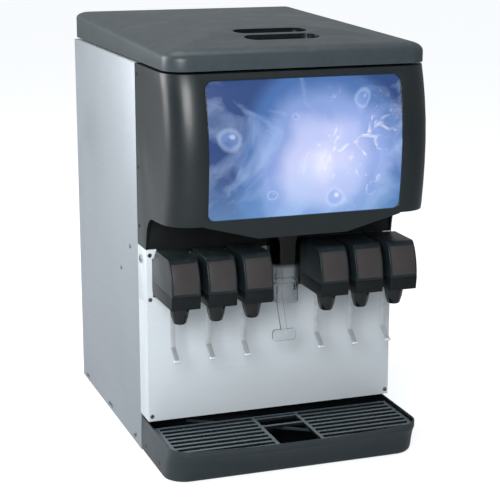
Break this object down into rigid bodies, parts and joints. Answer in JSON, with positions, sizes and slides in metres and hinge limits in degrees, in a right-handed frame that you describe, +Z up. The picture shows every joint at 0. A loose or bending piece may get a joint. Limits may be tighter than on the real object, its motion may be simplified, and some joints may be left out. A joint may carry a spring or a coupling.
{
  "type": "fountain drink dispenser",
  "caption": "Counter-top ice and fountain-drink dispenser with a bank of lever valves each side of an ice chute, a lit display bonnet, a lift-up lid, an ice bin and a drip tray.",
  "frame": {"origin": "on the counter, under the middle of the machine's overall box", "axes": "+X to the user's right, +Y from the front to the back, +Z up"},
  "size_m": [0.5625, 0.8206, 0.915],
  "materials": {
    "stainless": "brushed",
    "slate_plastic": "fine moulded grain",
    "black_plastic": "satin",
    "gloss_black_plastic": "gloss",
    "polished_steel": "polished",
    "clear_plastic": "clear",
    "lit_display": "translucent, lit from behind",
    "bezel": "satin",
    "white_plastic": "satin",
    "lamp_glass": "frosted",
    "painted_steel": "satin",
    "foam": "foam",
    "cast_aluminium": "as cast",
    "grey_plastic": "satin"
  },
  "bodies": {
    "cabinet": {"base_pan": "stainless", "side_panel_left": "stainless", "side_panel_right": "stainless", "rear_panel": "stainless", "splash_panel": "stainless", "valve_panel": "stainless", "bonnet": "slate_plastic", "drip_tray": "slate_plastic", "valve_cover_1": "slate_plastic", "valve_cover_2": "slate_plastic", "valve_cover_3": "slate_plastic", "valve_cover_4": "slate_plastic", "valve_cover_5": "slate_plastic", "valve_cover_6": "slate_plastic", "inner_panel": "black_plastic", "cord_gland": "black_plastic", "valve_body_1": "black_plastic", "valve_body_2": "black_plastic", "valve_body_3": "black_plastic", "valve_body_4": "black_plastic", "valve_body_5": "black_plastic", "valve_body_6": "black_plastic", "valve_nozzle_1": "gloss_black_plastic", "valve_nozzle_2": "gloss_black_plastic", "valve_nozzle_3": "gloss_black_plastic", "valve_nozzle_4": "gloss_black_plastic", "valve_nozzle_5": "gloss_black_plastic", "valve_nozzle_6": "gloss_black_plastic", "key_switch_body": "polished_steel", "hinge_bracket_left": "polished_steel", "hinge_bracket_right": "polished_steel", "hinge_pin_left": "polished_steel", "hinge_pin_right": "polished_steel", "ice_lever_bracket": "polished_steel", "ice_chute": "clear_plastic", "display_panel": "lit_display", "display_bezel": "bezel", "ice_bin": "white_plastic", "agitator_bearing": "white_plastic", "lamp_housing": "white_plastic", "lamp_tubes": "lamp_glass", "electrical_box": "painted_steel", "gearmotor": "painted_steel", "insulation": "foam", "cold_plate": "cast_aluminium", "drain_fitting": "grey_plastic"},
    "lid": {"lid": "slate_plastic"},
    "agitator": {"agitator": "white_plastic"},
    "ice_lever": {"ice_lever": "clear_plastic", "ice_lever_shaft": "polished_steel"},
    "gate_pushrod": {"gate_pushrod": "polished_steel"},
    "ice_gate": {"ice_gate": "polished_steel"},
    "key_cylinder": {"key_cylinder": "polished_steel"},
    "cup_rest": {"cup_rest": "black_plastic"},
    "valve_lever_1": {"valve_lever_1": "polished_steel"},
    "valve_lever_2": {"valve_lever_2": "polished_steel"},
    "valve_lever_3": {"valve_lever_3": "polished_steel"},
    "valve_lever_4": {"valve_lever_4": "polished_steel"},
    "valve_lever_5": {"valve_lever_5": "polished_steel"},
    "valve_lever_6": {"valve_lever_6": "polished_steel"}
  },
  "joints": [
    {"name": "lid_hinge", "type": "hinge", "parent": "cabinet", "child": "lid", "pos_m": [0, 0.402, 0.853], "axis": [-1, 0, 0], "range_deg": [0, 80]},
    {"name": "agitator_spin", "type": "hinge", "parent": "cabinet", "child": "agitator", "pos_m": [0, 0.1, 0.645], "axis": [0, 1, 0], "continuous": true},
    {"name": "ice_lever_swing", "type": "hinge", "parent": "cabinet", "child": "ice_lever", "pos_m": [0, -0.24, 0.505], "axis": [1, 0, 0], "range_deg": [0, 10], "stiffness_Nm_per_rad": 0.8, "springref_deg": -17.19},
    {"name": "gate_pushrod_lift", "type": "slide", "parent": "cabinet", "child": "gate_pushrod", "axis": [0, 0, 1], "range_m": [0, 0.0152]},
    {"name": "ice_gate_swing", "type": "hinge", "parent": "cabinet", "child": "ice_gate", "pos_m": [0, -0.1355, 0.756], "axis": [-1, 0, 0], "range_deg": [0, 46]},
    {"name": "key_turn", "type": "hinge", "parent": "cabinet", "child": "key_cylinder", "pos_m": [-0.281, -0.169, 0.4375], "axis": [-1, 0, 0], "range_deg": [0, 90]},
    {"name": "cup_rest_lift", "type": "slide", "parent": "cabinet", "child": "cup_rest", "axis": [0, 0, 1], "range_m": [0, 0.06]},
    {"name": "valve_lever_1_swing", "type": "hinge", "parent": "cabinet", "child": "valve_lever_1", "pos_m": [-0.2391, -0.259, 0.385], "axis": [1, 0, 0], "range_deg": [0, 12], "stiffness_Nm_per_rad": 0.35, "springref_deg": -14.32},
    {"name": "valve_lever_2_swing", "type": "hinge", "parent": "cabinet", "child": "valve_lever_2", "pos_m": [-0.1613, -0.259, 0.385], "axis": [1, 0, 0], "range_deg": [0, 12], "stiffness_Nm_per_rad": 0.35, "springref_deg": -14.32},
    {"name": "valve_lever_3_swing", "type": "hinge", "parent": "cabinet", "child": "valve_lever_3", "pos_m": [-0.0835, -0.259, 0.385], "axis": [1, 0, 0], "range_deg": [0, 12], "stiffness_Nm_per_rad": 0.35, "springref_deg": -14.32},
    {"name": "valve_lever_4_swing", "type": "hinge", "parent": "cabinet", "child": "valve_lever_4", "pos_m": [0.0835, -0.259, 0.385], "axis": [1, 0, 0], "range_deg": [0, 12], "stiffness_Nm_per_rad": 0.35, "springref_deg": -14.32},
    {"name": "valve_lever_5_swing", "type": "hinge", "parent": "cabinet", "child": "valve_lever_5", "pos_m": [0.1613, -0.259, 0.385], "axis": [1, 0, 0], "range_deg": [0, 12], "stiffness_Nm_per_rad": 0.35, "springref_deg": -14.32},
    {"name": "valve_lever_6_swing", "type": "hinge", "parent": "cabinet", "child": "valve_lever_6", "pos_m": [0.2391, -0.259, 0.385], "axis": [1, 0, 0], "range_deg": [0, 12], "stiffness_Nm_per_rad": 0.35, "springref_deg": -14.32}
  ],
  "couplings": [
    {"joint": "gate_pushrod_lift", "follows": "ice_lever_swing", "m_per_rad": 0.0865},
    {"joint": "ice_gate_swing", "follows": "ice_lever_swing", "ratio": 4.5}
  ]
}
